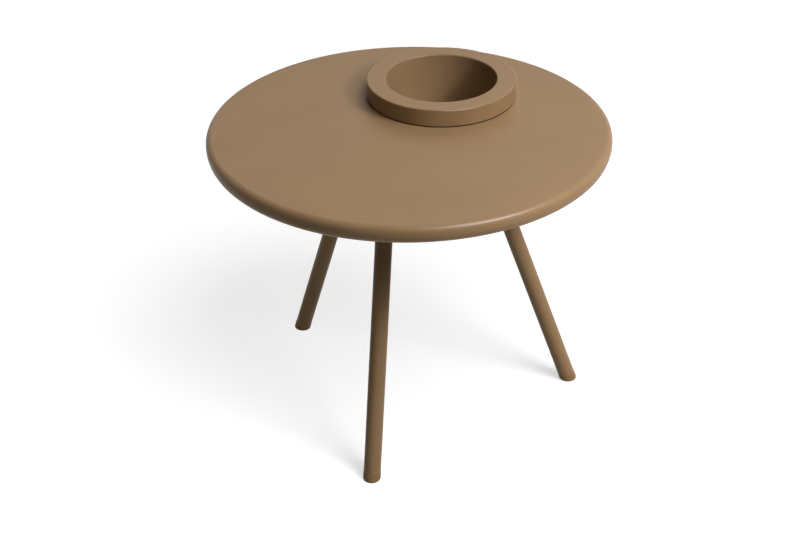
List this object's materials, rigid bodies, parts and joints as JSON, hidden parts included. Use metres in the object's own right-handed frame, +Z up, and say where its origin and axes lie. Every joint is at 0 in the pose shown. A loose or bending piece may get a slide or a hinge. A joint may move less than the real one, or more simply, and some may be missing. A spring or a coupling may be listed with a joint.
{
  "type": "side table",
  "caption": "Low round outdoor side table on splayed tube legs, with a deep lift-out pot set off-centre in its top for a plant, ice or bottles.",
  "frame": {"origin": "on the floor, under the middle of the round top", "axes": "+Z up, +X to the right and +Y to the back as the picture shows the table, with the pot at the back"},
  "size_m": [0.5999, 0.6, 0.4907],
  "materials": {
    "top_coat": "matt powder coat, taupe",
    "leg_coat": "matt powder coat, taupe",
    "pot_moulding": "matt moulded, taupe",
    "foot_moulding": "matt moulded, darker taupe",
    "zinc_steel": "zinc plated"
  },
  "bodies": {
    "table": {"table_top": "top_coat", "under_plate": "top_coat", "plate_studs": "zinc_steel", "plate_nuts": "zinc_steel", "leg_boss_left": "top_coat", "leg_stud_left": "zinc_steel", "leg_plug_left": "zinc_steel", "leg_tube_left": "leg_coat", "foot_cap_left": "foot_moulding", "leg_boss_front": "top_coat", "leg_stud_front": "zinc_steel", "leg_plug_front": "zinc_steel", "leg_tube_front": "leg_coat", "foot_cap_front": "foot_moulding", "leg_boss_right": "top_coat", "leg_stud_right": "zinc_steel", "leg_plug_right": "zinc_steel", "leg_tube_right": "leg_coat", "foot_cap_right": "foot_moulding"},
    "pot": {"pot": "pot_moulding"}
  },
  "joints": [
    {"name": "pot_lift", "type": "slide", "parent": "table", "child": "pot", "axis": [0, 0, 1], "range_m": [0, 0.2]}
  ]
}
